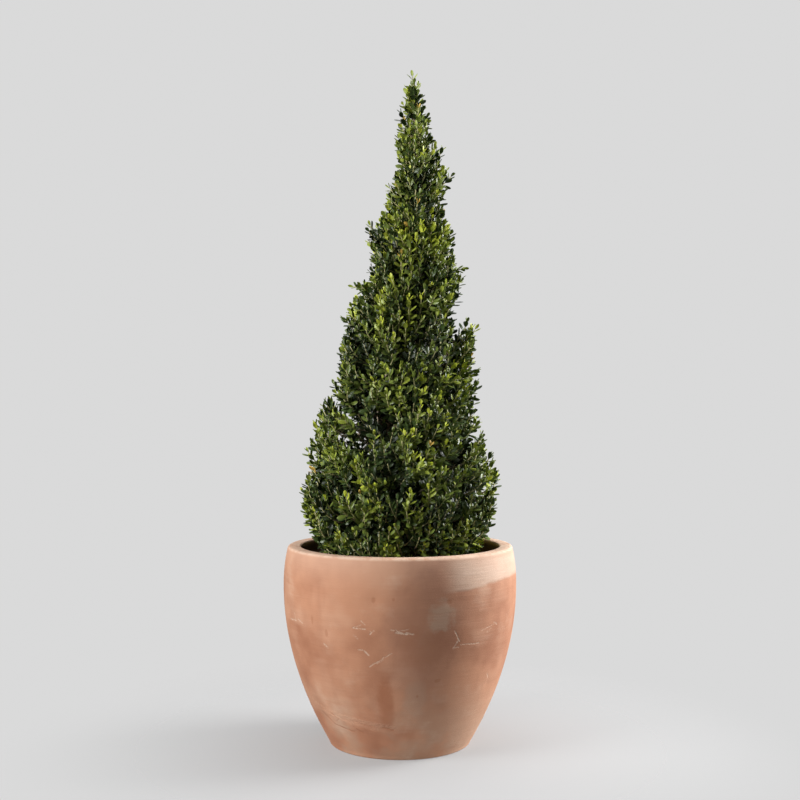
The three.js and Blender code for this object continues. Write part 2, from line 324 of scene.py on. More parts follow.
# %% Geometry Nodes helpers
class ShapeTree(Tree):
    """A Geometry Nodes tree with a geometry in and out, and named inputs in `given`."""

    def __init__(self, name, sockets):
        super().__init__(bpy.data.node_groups.new(name, "GeometryNodeTree"))
        face = self.node_tree.interface
        face.new_socket("Geometry", in_out="INPUT", socket_type="NodeSocketGeometry")
        for label, (kind, default) in sockets.items():
            socket = face.new_socket(label, in_out="INPUT", socket_type="NodeSocket" + kind)
            if default is not None:
                socket.default_value = default
        face.new_socket("Geometry", in_out="OUTPUT", socket_type="NodeSocketGeometry")
        start = self.node_tree.nodes.new("NodeGroupInput")
        self.given = {s.name: Value(self, s) for s in start.outputs if s.name}

    def shape(self, kind, **inputs):
        """A step that works on a shape, with underscores for the spaces in its inputs' names."""
        named_inputs = {label.replace("_", " "): value for label, value in inputs.items()}
        return self.node("GeometryNode" + kind, None, named_inputs)

    def stored(self, name):
        """A number that the points or instances carry under this name."""
        return self.node("GeometryNodeInputNamedAttribute", {"data_type": "FLOAT"}, {"Name": name})

    def store(self, geometry, name, value, data_type, domain):
        settings = {"data_type": data_type, "domain": domain}
        inputs = {"Geometry": geometry, "Name": name, "Value": value}
        return self.node("GeometryNodeStoreNamedAttribute", settings, inputs)

    def random(self, low, high, seed):
        """A random number for each point, the same in every run."""
        inputs = {2: low, 3: high, 8: seed}
        return self.node("FunctionNodeRandomValue", {"data_type": "FLOAT"}, inputs, output=1)

    def spread(self, selection, gap, most):
        """Points on the faces, no two closer than the gap."""
        return self.node("GeometryNodeDistributePointsOnFaces", {"distribute_method": "POISSON"}, {
            "Mesh": self.given["Geometry"], "Selection": selection, "Distance Min": gap,
            "Density Max": most, "Seed": self.given["Seed"],
        })

    def place_copies(self, points, item, rotation, scale):
        """A copy of an object on each point."""
        copy = self.node("GeometryNodeObjectInfo", None, {"Object": item, "As Instance": True}, "Geometry")
        return self.shape("InstanceOnPoints", Points=points, Instance=copy, Rotation=rotation, Scale=scale)

    def tube(self):
        """A round section swept along lines, as wide as the radius that each point carries."""
        curve = self.shape("MeshToCurve", Mesh=self.given["Geometry"])
        section = self.shape("CurvePrimitiveCircle", Resolution=self.given["Sides"], Radius=1.0)
        return self.shape("CurveToMesh", Curve=curve, Profile_Curve=section,
                          Scale=self.stored("radius"), Fill_Caps=True)

    def end(self, shape, finishes, smooth=True):
        """Realizes the shape and sets each finish where its selection holds."""
        shape = self.shape("RealizeInstances", Geometry=shape)
        if smooth:
            shape = self.shape("SetShadeSmooth", Geometry=shape)
        for name, where in finishes.items():
            shape = self.shape("SetMaterial", Geometry=shape, Selection=where, Material=self.given[name])
        self.feed(self.node_tree.nodes.new("NodeGroupOutput").inputs[0], shape)
        return self.node_tree


def run_tree(group, mesh, name, settings, keep=()):
    """Runs the tree on a mesh and returns its result as an object with a plain mesh."""
    holder = add_object(name + "_holder", mesh)
    modifier = holder.modifiers.new(name, "NODES")
    modifier.node_group = group
    for item in group.interface.items_tree:
        if item.in_out == "INPUT" and item.name in settings:
            modifier[item.identifier] = settings[item.name]
    graph = bpy.context.evaluated_depsgraph_get()
    result = bpy.data.meshes.new_from_object(holder.evaluated_get(graph), depsgraph=graph)
    holder.modifiers.remove(modifier)
    bpy.data.objects.remove(holder)
    result.name = name
    wanted = ("sharp_face", "material_index", *keep)
    spare = [a.name for a in result.attributes if not a.is_required and a.name not in wanted]
    for attribute_name in spare:
        result.attributes.remove(result.attributes[attribute_name])
    return add_object(name, result)


def lines_mesh(name, lines, extras):
    """Many separate polylines as one mesh, with numbers stored on its points."""
    sizes = [len(line) for line in lines]
    starts = np.cumsum([0, *sizes[:-1]])
    edges = [(k, k + 1) for start, size in zip(starts, sizes) for k in range(start, start + size - 1)]
    mesh = new_mesh(name, np.concatenate(lines).tolist(), [], edges)
    for label, values in extras.items():
        attribute = mesh.attributes.new(label, "FLOAT", "POINT")
        attribute.data.foreach_set("value", np.concatenate(values).astype(np.float32))
    return mesh


def triangles(mesh):
    mesh.calc_loop_triangles()
    return len(mesh.loop_triangles)


print("Geometry Nodes helpers ready")

# %% [markdown]
# ## The pot's shape
# The pot is thrown clay, so its shape is one outline turned round an axis. The outline closes on
# itself: foot, wall, lip, inside, floor and drainage hole. A lathe tree bends a grid round the
# axis, reading each row's radius and height from the outline's points. Being hand-finished, the
# wall is then pushed in and out a little: slow waves, faint throwing rings and a few dents.

# %% Pot outline
OUTER_STEPS = 78
INNER_STEPS = 40
ROUND_STEPS = 6


def pot_radius(height):
    if height < BELLY_HEIGHT:
        return BELLY_RADIUS - (BELLY_RADIUS - FOOT_RADIUS) * (1 - height / BELLY_HEIGHT) ** 2
    rise = (height - BELLY_HEIGHT) / (POT_HEIGHT - BELLY_HEIGHT)
    return BELLY_RADIUS - (BELLY_RADIUS - RIM_RADIUS) * rise**2


def pot_inside(height):
    return pot_radius(height) - WALL - WALL_EXTRA_AT_FOOT * max(0.0, 1 - height / BELLY_HEIGHT)


def arc(centre, radius, start, end):
    """Points of an arc, with its angles in degrees from outwards to upwards."""
    turns = np.radians(np.linspace(start, end, ROUND_STEPS))
    return [(centre[0] + radius * math.cos(t), centre[1] + radius * math.sin(t)) for t in turns]


def pot_outline():
    lip_start = POT_HEIGHT - LIP_ROUND
    lip_end = POT_HEIGHT - LIP_INNER_ROUND
    outer = [(pot_radius(z), z) for z in np.linspace(FOOT_ROUND, lip_start, OUTER_STEPS)]
    inner = [(pot_inside(z), z) for z in np.linspace(lip_end, FLOOR + FOOT_ROUND, INNER_STEPS)]
    foot_edge = arc((outer[0][0] - FOOT_ROUND, FOOT_ROUND), FOOT_ROUND, -90, 0)
    lip_outside = arc((outer[-1][0] - LIP_ROUND, lip_start), LIP_ROUND, 0, 90)
    lip_inside = arc((inner[0][0] + LIP_INNER_ROUND, lip_end), LIP_INNER_ROUND, 90, 180)
    floor_edge = arc((inner[-1][0] - FOOT_ROUND, FLOOR + FOOT_ROUND), FOOT_ROUND, 0, -90)
    floor_top = [(r, FLOOR) for r in np.linspace(floor_edge[-1][0], DRAIN_RADIUS, 9)[1:]]
    hole = [(DRAIN_RADIUS, z) for z in np.linspace(FLOOR, 0, 4)[1:]]
    underside = [(r, 0.0) for r in np.linspace(DRAIN_RADIUS, foot_edge[0][0], 9)[1:-1]]
    rows = foot_edge + outer[1:] + lip_outside[1:] + lip_inside + inner[1:]
    return rows + floor_edge[1:] + floor_top + hole + underside


outline = pot_outline()
print(len(outline), "points in the pot's outline")

# %% Lathe tree
POT_SIDES = 256
RIDGE_HEIGHT = 0.058
RIDGE_CLIMB = 0.036
RIDGE_HALF_WIDTH = 0.0055
RIDGE_RELIEF = 0.0016
DENTS = [
    # bearing from the front in degrees, height, radius and depth in metres
    (-12, 0.328, 0.012, 0.0011), (-46, 0.278, 0.016, 0.0014), (-37, 0.257, 0.010, 0.0009),
    (23, 0.322, 0.006, 0.0012), (55, 0.146, 0.009, 0.0010), (-52, 0.080, 0.024, 0.0018),
    (130, 0.250, 0.014, 0.0012), (-150, 0.180, 0.012, 0.0010),
]


def dent_field(tree, x, y, z):
    """How far the wall is pushed in by the dents, from the distance to each dent's middle."""
    total = 0.0
    for bearing, height, radius, depth in DENTS:
        turn = math.radians(bearing)
        dx = x - pot_radius(height) * math.sin(turn)
        dy = y + pot_radius(height) * math.cos(turn)
        dz = z - height
        away = (dx * dx + dy * dy + dz * dz) / radius**2
        total = total + depth * tree.maths("EXPONENT", -away)
    return total


def ridge_field(tree, x, y, z):
    """A low curved band near the foot, where a strip of clay was smeared on."""
    bearing = tree.maths("ARCTAN2", x, -y)
    crest = RIDGE_HEIGHT + RIDGE_CLIMB * abs(bearing) ** 1.5
    across = (z - crest) / RIDGE_HALF_WIDTH
    ends = tree.fade(bearing, -1.15, -0.85) * tree.fade(bearing, 0.1, -0.2)
    return RIDGE_RELIEF * tree.maths("EXPONENT", -(across * across)) * ends


def lathe_tree(rows):
    tree = ShapeTree("thrown_pot", {
        "Sides": ("Int", POT_SIDES), "Wave": ("Float", 0.0022), "Ring": ("Float", 0.0006),
        "Clay": ("Material", None),
    })
    sides = tree.given["Sides"]
    grid = tree.shape("MeshGrid", Size_X=sides, Size_Y=float(rows),
                      Vertices_X=sides + 1, Vertices_Y=rows + 1)
    position = tree.shape("InputPosition")
    across, up, _ = tree.axes(position)
    column = tree.maths("ROUND", across + sides / 2)
    row = tree.maths("MODULO", tree.maths("ROUND", up + rows / 2), float(rows))
    point = tree.node("GeometryNodeSampleIndex", {"data_type": "FLOAT_VECTOR"}, {
        "Geometry": tree.given["Geometry"], "Value": position, "Index": row,
    })
    radius, _, height = tree.axes(point)
    turn = column * (2 * math.pi) / sides
    turned = tree.vector(
        X=radius * tree.maths("COSINE", turn), Y=radius * tree.maths("SINE", turn), Z=height
    )
    bent = tree.shape("SetPosition", Geometry=grid, Position=turned)
    closed = tree.shape("MergeByDistance", Geometry=bent, Distance=1e-5)
    x, y, z = tree.axes(position)
    wave = tree.cloud(position, 5.0, 1.0)
    ring = tree.cloud(position, 90.0, 2.0, stretch=(0.06, 0.06, 1.0))
    push = (wave - 0.5) * tree.given["Wave"] + (ring - 0.5) * tree.given["Ring"]
    push = push - dent_field(tree, x, y, z) + ridge_field(tree, x, y, z)
    push = push * tree.fade(z, 0.002, 0.02) / tree.maths("SQRT", x * x + y * y)
    uneven = tree.shape("SetPosition", Geometry=closed, Offset=tree.vector(X=x * push, Y=y * push))
    return tree.end(uneven, {"Clay": True})


print("lathe tree defined")

# %% [markdown]
# ## The clay's finish
# Unglazed clay is never one colour. It fires in soft clouds, darkens in a few long streaks, and
# carries a thin pale film of lime. This pot has been handled too: there is a smear of slip under the
# rim on the right, a grey rub in front, pale scratches and a worn lip. Marks are drawn as strokes
# on the unrolled wall, from bearing and height, with their edges broken up by noise. Some colour is
# painted shade: a broad darker zone down the front, which is partly a stain, and the inside wall
# under the lip, which is painted near black and is partly damp.

# %% Clay marks
ARC_RADIUS = 0.235
SCRATCHES = [
    # bearing and height of both ends, half width, strength, in degrees from the front and millimetres
    (-67, 267, -60, 269, 1.5, 0.80), (-61, 283, -60, 266, 1, 0.55), (-58, 274, -54, 268, 1.2, 0.60),
    (-22, 274, -16, 272, 1.5, 0.90), (-21, 276, -18, 280, 1, 0.50), (-18, 287, -16, 281, 1.2, 0.55),
    (-14, 262, -12, 270, 1.2, 0.70), (-14, 269, -13, 265, 1.1, 0.60), (-22, 259, -20, 252, 1.8, 0.40),
    (-4, 272, -3, 271, 1.5, 0.60), (-2, 267, 6, 264, 1.7, 0.95), (-2, 272, 0, 266, 1.2, 0.80),
    (-1, 269, 4, 275, 1, 0.50), (3, 268, 6, 264, 1.2, 0.75), (26, 266, 29, 246, 1.4, 0.90),
    (28, 246, 26, 232, 1.5, 0.85), (26, 233, 29, 234, 1.2, 0.70), (30, 238, 41, 236, 1.1, 0.70),
    (42, 260, 51, 268, 1.2, 0.55), (46, 255, 49, 261, 1.1, 0.50), (51, 271, 53, 267, 1.8, 0.80),
    (-39, 235, -37, 229, 2, 0.75), (-20, 231, -18, 231, 1.4, 0.60), (-17, 229, -15, 223, 1.8, 0.75),
    (-15, 200, -11, 209, 1.3, 0.65), (-11, 209, -4, 227, 1.2, 0.60), (-11, 206, -8, 215, 1.1, 0.55),
    (52, 168, 54, 158, 1.4, 0.70), (115, 240, 124, 252, 1.2, 0.70), (-140, 205, -133, 196, 1.2, 0.70),
    (168, 290, 176, 287, 1.2, 0.60),
]
RIDGE_LINES = [
    (-60, 102, -36, 88, 3.4, 0.80), (-36, 88, -4, 74, 4.6, 0.95), (-52, 90, -30, 74, 2.6, 0.70),
    (-30, 78, -14, 68, 4, 0.60),
]
RED_LINES = [
    (-56, 86, -46, 66, 1.4, 0.90), (-46, 66, -30, 58, 1.3, 0.85), (-46, 90, -40, 80, 1.4, 0.80),
    (-40, 80, -43, 74, 1.2, 0.70), (-30, 70, -24, 58, 1.3, 0.70), (-12, 74, -4, 68, 2.2, 0.70),
]


def strokes(tree, across, up, lines):
    """1 on any of a table's lines on the unrolled wall, times its strength, and 0 away from them."""
    drawn = 0.0
    for *ends, half_width, strength in lines:
        x0, x1 = (math.radians(bearing) * ARC_RADIUS for bearing in ends[::2])
        z0, z1 = (height / 1000 for height in ends[1::2])
        dx, dz = x1 - x0, z1 - z0
        share = ((across - x0) * dx + (up - z0) * dz) / (dx * dx + dz * dz)
        share = tree.maths("MINIMUM", tree.maths("MAXIMUM", share, 0.0), 1.0)
        off_x = across - x0 - share * dx
        off_z = up - z0 - share * dz
        away = tree.maths("SQRT", off_x * off_x + off_z * off_z)
        line = tree.fade(away, 0.0015 * half_width, 0.0004 * half_width)
        drawn = tree.maths("MAXIMUM", drawn, line * strength)
    return drawn


def blob(tree, across, up, bearing, height, half_across, half_up, ragged):
    """1 inside a ragged oval on the unrolled wall, fading to 0 outside it."""
    off_x = (across - math.radians(bearing) * ARC_RADIUS) / half_across
    off_z = (up - height) / half_up
    away = tree.maths("SQRT", off_x * off_x + off_z * off_z) + ragged
    return tree.fade(away, 1.25, 0.55)


print(len(SCRATCHES), "scratches in the clay")

# %% Clay finish
CLAY_DEEP = (0.360, 0.155, 0.085)
CLAY = (0.515, 0.250, 0.145)
CLAY_PALE = (0.600, 0.345, 0.225)
# brown of the stains, also used to paint shade down the pot's front
STAIN_BROWN_AND_SHADE = (0.300, 0.150, 0.100)
LIME = (0.740, 0.590, 0.460)
SLIP = (0.670, 0.535, 0.425)
BLOOM = (0.645, 0.405, 0.285)
GREY_RUB = (0.450, 0.315, 0.225)
DUST = (0.410, 0.265, 0.180)
RUST = (0.330, 0.120, 0.055)
# near-black brown for the inside wall under the lip: damp clay and painted shade
WET_AND_SHADE = (0.080, 0.034, 0.020)
SOFT_STAINS_AND_SHADE = [
    # bearing, height, half width, half height, raggedness, strength and colour of soft stains and of
    # painted shade
    # a broad darker zone down the front: partly a purple-brown stain, partly painted shade where the pot's
    # middle turns away from the side lamps
    (10, 0.250, 0.072, 0.150, 1.0, 0.42, STAIN_BROWN_AND_SHADE),
    (33, 0.315, 0.030, 0.045, 1.2, 0.32, CLAY_DEEP),
    (20, 0.335, 0.048, 0.060, 1.6, 0.18, STAIN_BROWN_AND_SHADE),
    (12, 0.225, 0.050, 0.050, 2.0, 0.45, CLAY_DEEP),
    (-7, 0.125, 0.020, 0.052, 1.8, 0.55, RUST),
    (8, 0.130, 0.030, 0.045, 1.8, 0.30, GREY_RUB),
]
SPOTS = [
    # bearing, height, half width, half height of small dark spots
    (-12, 0.328, 0.0045, 0.0065), (-46, 0.278, 0.0040, 0.0100), (-37, 0.257, 0.0040, 0.0070),
    (23, 0.322, 0.0060, 0.0050), (-3, 0.330, 0.0025, 0.0030), (19, 0.170, 0.0070, 0.0040),
    (9, 0.140, 0.0030, 0.0030),
]
DAMP_AND_SHADE_TOP = 0.403
SMEAR_EDGE = 0.339
SMEAR_CLIMB = 0.013


def clay_finish():
    material, tree, place = new_material("terracotta")
    x, y, z = tree.axes(place)
    wobble = tree.cloud(place, 60.0, 2.0) - 0.5
    soft = tree.cloud(place, 16.0, 3.0) - 0.5
    fine = tree.cloud(place, 420.0, 3.0)
    grit = tree.cloud(place, 1300.0, 2.0)
    across = tree.maths("ARCTAN2", x, -y) * ARC_RADIUS + 0.004 * wobble
    up = z + 0.005 * (tree.cloud(place, 45.0, 2.0) - 0.5)

    patches = tree.cloud(place, 6.0, 3.0)
    bands = tree.cloud(place, 55.0, 3.0, stretch=(0.08, 0.08, 1.0))
    brushed = tree.cloud(place, 240.0, 3.0, stretch=(0.06, 0.06, 1.0))
    runs = tree.cloud(place, 22.0, 3.0, stretch=(1.0, 1.0, 0.12))
    paler = tree.fade(tree.cloud(place, 9.0, 2.0) + 0.3 * (bands - 0.5), 0.48, 0.80)
    dusty = tree.fade(z, 0.190, 0.030) * tree.fade(patches - 0.5 * soft, 0.40, 0.60)
    film = tree.fade(tree.cloud(place, 13.0, 4.0) + 0.2 * (brushed - 0.5), 0.52, 0.80)
    rub = blob(tree, across, up, 19, 0.295, 0.026, 0.030, 1.4 * wobble)
    rub = rub * tree.fade(bands + 0.3 * fine, 0.30, 0.70)
    ridge = strokes(tree, across, up, RIDGE_LINES) * tree.fade(fine + 0.5 * soft, 0.30, 0.60)
    cracks = strokes(tree, across, up, RED_LINES) * tree.fade(wobble + 0.3 * fine, -0.10, 0.20)

    edge = SMEAR_EDGE + SMEAR_CLIMB * tree.fade(across, 0.085, 0.26)
    smear = tree.fade(up, edge - 0.003, edge + 0.005) * tree.fade(across, 0.070, 0.130)
    smear = smear * tree.fade(across, 0.40, 0.32) * (0.35 + 0.65 * tree.fade(up, 0.412, 0.380))
    smear = smear * (0.70 + 0.30 * tree.fade(bands + 0.8 * soft, 0.30, 0.75))
    shaken = 0.0040 * (tree.cloud(place, 150.0, 3.0) - 0.5)
    scratched = strokes(tree, across + shaken, up - shaken, SCRATCHES)
    scratched = scratched * tree.fade(tree.cloud(place, 260.0, 2.0), 0.28, 0.62)
    lip_wear = tree.fade(z, POT_HEIGHT - 0.006, POT_HEIGHT - 0.0015)
    lip_wear = lip_wear * tree.fade(wobble + 0.4 * fine, -0.10, 0.34)
    # The inside wall from just under the lip down to the soil is painted near black: partly damp clay,
    # partly painted shade inside the pot.
    inside = tree.maths("SQRT", x * x + y * y) < pot_radius(POT_HEIGHT) - 0.6 * WALL
    damp_and_painted_shade = inside * tree.fade(z, DAMP_AND_SHADE_TOP, DAMP_AND_SHADE_TOP - 0.011) * (z > 0.5 * POT_HEIGHT)

    layers = [
        (0.55, paler, CLAY_PALE),
        (0.40, tree.fade(runs, 0.50, 0.78), CLAY_DEEP),
        (0.60, dusty, DUST),
        (0.22, film, LIME),
        (0.60, tree.fade(z, 0.330, 0.425), BLOOM),
    ]
    # the soft stains, with the painted shade down the front among them
    for *spot, ragged, strength, shade in SOFT_STAINS_AND_SHADE:
        layers.append((strength, blob(tree, across, up, *spot, ragged * soft), shade))
    layers += [(0.62, rub, GREY_RUB), (0.50, ridge, CLAY_PALE), (0.55, cracks, RUST)]
    layers += [(0.35, blob(tree, across, up, *spot, 1.2 * wobble), RUST) for spot in SPOTS]
    layers += [
        (0.60, smear, SLIP),
        (0.62, scratched, LIME),
        (0.50, lip_wear, LIME),
        (0.80, damp_and_painted_shade, WET_AND_SHADE),
        (0.14, tree.fade(grit, 0.60, 0.75), CLAY_DEEP),
    ]
    colour = tree.blend(tree.fade(patches + 0.25 * soft, 0.30, 0.62), CLAY_DEEP, CLAY)
    for strength, mask, shade in layers:
        colour = tree.blend(strength * mask, colour, shade)

    sand = tree.relief(fine * 0.5 + grit * 0.5, 0.0005)
    rings = tree.relief(bands * 0.6 + brushed * 0.4, 0.0009, sand)
    cut = tree.relief(1.0 - scratched, 0.0005, rings)
    tree.set_shader({
        "Base Color": colour,
        "Roughness": 0.80 + 0.12 * (fine - 0.5) - 0.06 * smear,
        "Specular IOR Level": 0.30,
        "Normal": tree.relief(0.8 * smear + 0.8 * ridge - cracks, 0.0007, cut),
    })
    return material


terracotta = clay_finish()
print(len(terracotta.node_tree.nodes), "nodes in the clay's finish")

# %% Pot
def outward(piece):
    """Merges doubles and turns every face of a closed piece outwards."""
    shape = bmesh.new()
    shape.from_mesh(piece.data)
    bmesh.ops.remove_doubles(shape, verts=shape.verts, dist=1e-6)
    bmesh.ops.recalc_face_normals(shape, faces=shape.faces)
    shape.to_mesh(piece.data)
    shape.free()


def settle(piece, node_names):
    """Gives a finished piece its body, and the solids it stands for."""
    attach(piece, "root")
    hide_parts(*node_names)


outline_mesh = new_mesh("pot_outline", [(r, 0.0, z) for r, z in outline], [])
pot = run_tree(lathe_tree(len(outline)), outline_mesh, "clay_pot", {"Clay": terracotta})
outward(pot)
settle(pot, ["pot"])
print("pot:", triangles(pot.data), "triangles")

# %% [markdown]
# ## Soil
# Potting compost settles into a lumpy bed of crumbs and bits of bark. The bed is a closed body of
# rings round the axis, whose top is lifted by noise. A tree then scatters rough crumbs over the
# top, each a few faces, turned and sized at random, dark ones and a few reddish bark chips.

# %% Soil bed
BED_SIDES = 96
BED_RINGS = 34
BED_LUMP = 0.007
BED_DEPTH = 0.05
BED_GAP = 0.0008


def bed_height(x, y):
    broad = noise.noise(Vector((x, y, 0.3)) / 0.045)
    crumbly = noise.noise(Vector((x, y, 0.7)) / 0.010)
    return SOIL_LEVEL - 0.5 * BED_LUMP + BED_LUMP * (0.6 * broad + 0.3 * crumbly)


def soil_bed():
    """Rings from the middle of the top to the wall, down the wall, and back under."""
    low = SOIL_LEVEL - BED_DEPTH
    edge = pot_inside(SOIL_LEVEL) - BED_GAP
    rings = [(r, None) for r in np.linspace(0.0, edge, BED_RINGS)[1:]]
    rings.append((pot_inside(low) - BED_GAP, low))
    points = [(0.0, 0.0, bed_height(0.0, 0.0))]
    for radius, height in rings:
        for x, y in circle(radius, BED_SIDES):
            points.append((x, y, bed_height(x, y) if height is None else height))
    last = len(points) - BED_SIDES
    faces = [(0, 1 + k, 1 + (k + 1) % BED_SIDES) for k in range(BED_SIDES)]
    for start in range(1, last, BED_SIDES):
        for k in range(BED_SIDES):
            following = start + (k + 1) % BED_SIDES
            faces.append((start + k, start + BED_SIDES + k, BED_SIDES + following, following))
    faces.append(tuple(range(last, len(points))))
    return add_mesh("soil_bed", points, faces)


def soil_finish():
    material, tree, place = new_material("compost")
    grains = tree.cloud(place, 420.0, 3.0)
    lumps = tree.cloud(place, 70.0, 3.0)
    colour = tree.blend(tree.fade(grains, 0.35, 0.65), (0.018, 0.011, 0.007), (0.075, 0.046, 0.030))
    tree.set_shader({
        "Base Color": tree.blend(0.5 * tree.fade(lumps, 0.55, 0.70), colour, (0.120, 0.065, 0.040)),
        "Roughness": 0.98 - 0.10 * grains,
        "Normal": tree.relief(grains * 0.5 + lumps * 0.5, 0.0020),
    })
    return material


bed = soil_bed()
bed.data.materials.append(soil_finish())
outward(bed)
bed.data.shade_smooth()
settle(bed, ["soil"])
print("soil bed:", triangles(bed.data), "triangles")

# %% Crumb tree
CHIP_SHARE = 0.12


def crumb_shape():
    """One rough crumb a unit across."""
    shape = bmesh.new()
    bmesh.ops.create_icosphere(shape, subdivisions=1, radius=0.5)
    for corner in shape.verts:
        corner.co *= 1.0 + 0.45 * noise.noise(corner.co * 2.7)
        corner.co.z *= 0.7
    mesh = bpy.data.meshes.new("crumb_shape")
    shape.to_mesh(mesh)
    shape.free()
    return add_object("crumb_shape", mesh)


def crumb_tree():
    tree = ShapeTree("crumbs", {
        "Crumb": ("Object", None), "Gap": ("Float", 0.0045), "Smallest": ("Float", 0.0025),
        "Largest": ("Float", 0.0085), "Seed": ("Int", 4),
        "Dark": ("Material", None), "Chip": ("Material", None),
    })
    given = tree.given
    _, _, z = tree.axes(tree.shape("InputNormal"))
    points = tree.spread(z > 0.3, given["Gap"], 40000.0)
    turn = tree.node("FunctionNodeRandomValue", {"data_type": "FLOAT_VECTOR"},
                     {0: (0.0, 0.0, 0.0), 1: (6.28, 6.28, 6.28), 8: 5})
    size = given["Smallest"] + (given["Largest"] - given["Smallest"]) * tree.random(0.0, 1.0, 6) ** 3
    placed = tree.place_copies(
        points, given["Crumb"], tree.node("FunctionNodeEulerToRotation", None, {0: turn}),
        tree.vector(X=size * tree.random(0.8, 1.9, 7), Y=size, Z=size),
    )
    chips = tree.store(placed, "chip", tree.random(0.0, 1.0, 8), "FLOAT", "INSTANCE")
    is_chip = tree.stored("chip") > 1 - CHIP_SHARE
    return tree.end(chips, {"Dark": True, "Chip": is_chip}, smooth=False)


print("crumb tree defined")

# %% Crumbs
def plain_finish(name, shade, roughness, gloss):
    """One even colour, set on the shader itself."""
    material = bpy.data.materials.new(name)
    material.use_nodes = True
    Tree(material.node_tree).set_shader({
        "Base Color": (*shade, 1.0), "Roughness": roughness, "Specular IOR Level": gloss,
    })
    material.diffuse_color = (*shade, 1.0)
    return material


crumb = crumb_shape()
crumbs = run_tree(crumb_tree(), bed.data, "soil_crumbs", {
    "Crumb": crumb,
    "Dark": plain_finish("crumb_dark", (0.040, 0.025, 0.016), 0.95, 0.2),
    "Chip": plain_finish("bark_chip", (0.150, 0.070, 0.042), 0.85, 0.3),
})
bpy.data.objects.remove(crumb)
settle(crumbs, ["soil"])
print("crumbs:", triangles(crumbs.data), "triangles")

# %% [markdown]
# ## Trunk and boughs
# One stem climbs from the soil into the crown's point, with a bough into each mass of foliage.
# They lie deep inside the leaves, but show through gaps. Each limb is a line with a radius at every
# point. A tree sweeps a round section along it, then raises long ridges of bark from the surface.

# %% Limb lines
TRUNK_FOOT_RADIUS = 0.016
TRUNK_TIP_RADIUS = 0.0025
TRUNK_TIP = trunk_high.z
FLARE_RADIUS = 0.011
FLARE_HEIGHT = 0.026
FLARE_ROOTS = 5
LEAN = (0.027, -0.008)
BEND = 0.007
CROWN_FOOT = 0.370
CROWN_WIDEST = 0.510
CROWN_RADIUS = 0.200
CROWN_TIP = 1.378
CONE_SLOPE = 0.2153
TUCK = 0.25
CORE_RATIO = 0.4
TIERS = [
    {"low": 0.370, "high": 0.550, "lobes": 6, "bearing": 12, "bough": 0.0065},
    {"low": 0.550, "high": 0.745, "lobes": 5, "bearing": 50, "bough": 0.0060},
    {"low": 0.745, "high": 0.945, "lobes": 4, "bearing": 20, "bough": 0.0050},
    {"low": 0.945, "high": 1.140, "lobes": 3, "bearing": 70, "bough": 0.0036},
]


def spine(height):
    """The trunk's middle at a height: a slight lean with one soft bend."""
    rise = (height - SOIL_LEVEL) / (CROWN_TIP - SOIL_LEVEL)
    share = min(1.0, max(0.0, rise))
    smooth = share * share * (3 - 2 * share)
    bend = BEND * math.sin(2 * math.pi * rise)
    return np.array([LEAN[0] * smooth - bend, LEAN[1] * smooth, height])


def spines(heights):
    return np.array([spine(z) for z in heights])


def cone_radius(height):
    if height >= CROWN_WIDEST:
        return max(0.0, CROWN_RADIUS - CONE_SLOPE * (height - CROWN_WIDEST))
    tucked = (CROWN_WIDEST - height) / (CROWN_WIDEST - CROWN_FOOT)
    return CROWN_RADIUS * (1 - TUCK * tucked**1.5)


def bent_line(start, knee, end, steps):
    """A line that leaves its start towards the knee and bends to its end."""
    t = np.linspace(0, 1, steps)[:, None]
    return (1 - t) ** 2 * start + 2 * t * (1 - t) * knee + t**2 * end


def trunk_line():
    heights = np.concatenate([
        np.linspace(SOIL_LEVEL - 0.004, SOIL_LEVEL + 0.08, 15),
        np.linspace(SOIL_LEVEL + 0.09, TRUNK_TIP, 90),
    ])
    rise = np.clip((heights - SOIL_LEVEL) / (TRUNK_TIP - SOIL_LEVEL), 0, 1)
    radii = TRUNK_FOOT_RADIUS + (TRUNK_TIP_RADIUS - TRUNK_FOOT_RADIUS) * rise**0.9
    flare = 0.75 * FLARE_RADIUS * np.exp(-np.maximum(heights - SOIL_LEVEL, 0) / FLARE_HEIGHT)
    return spines(heights), radii + flare


def bough_line(tier, lobe):
    """One bough: it leaves the trunk, then bends upwards into its mass of foliage."""
    span = tier["high"] - tier["low"]
    start = spine(tier["low"] + 0.14 * span + 0.012 * (lobe % 3))
    end_height = tier["low"] + 0.55 * span
    bearing = math.radians(tier["bearing"]) + 2 * math.pi * lobe / tier["lobes"]
    cone = cone_radius(end_height)
    reach = CORE_RATIO * cone + 0.22 * (1 - CORE_RATIO) * cone
    out = np.array([math.cos(bearing), math.sin(bearing), 0.0])
    end = spine(end_height) + reach * out
    knee = start + 0.62 * reach * out
    knee[2] = start[2] + 0.3 * (end_height - start[2])
    t = np.linspace(0, 1, 14)
    return bent_line(start, knee, end, 14), tier["bough"] * (1 + 0.5 * (1 - t) ** 4) * (1 - 0.45 * t)


trunk_points, trunk_radii = trunk_line()
boughs = {
    f"tier{tier_number}_{lobe + 1}": bough_line(tier, lobe)
    for tier_number, tier in enumerate(TIERS, start=1)
    for lobe in range(tier["lobes"])
}
print("trunk and", len(boughs), "boughs")

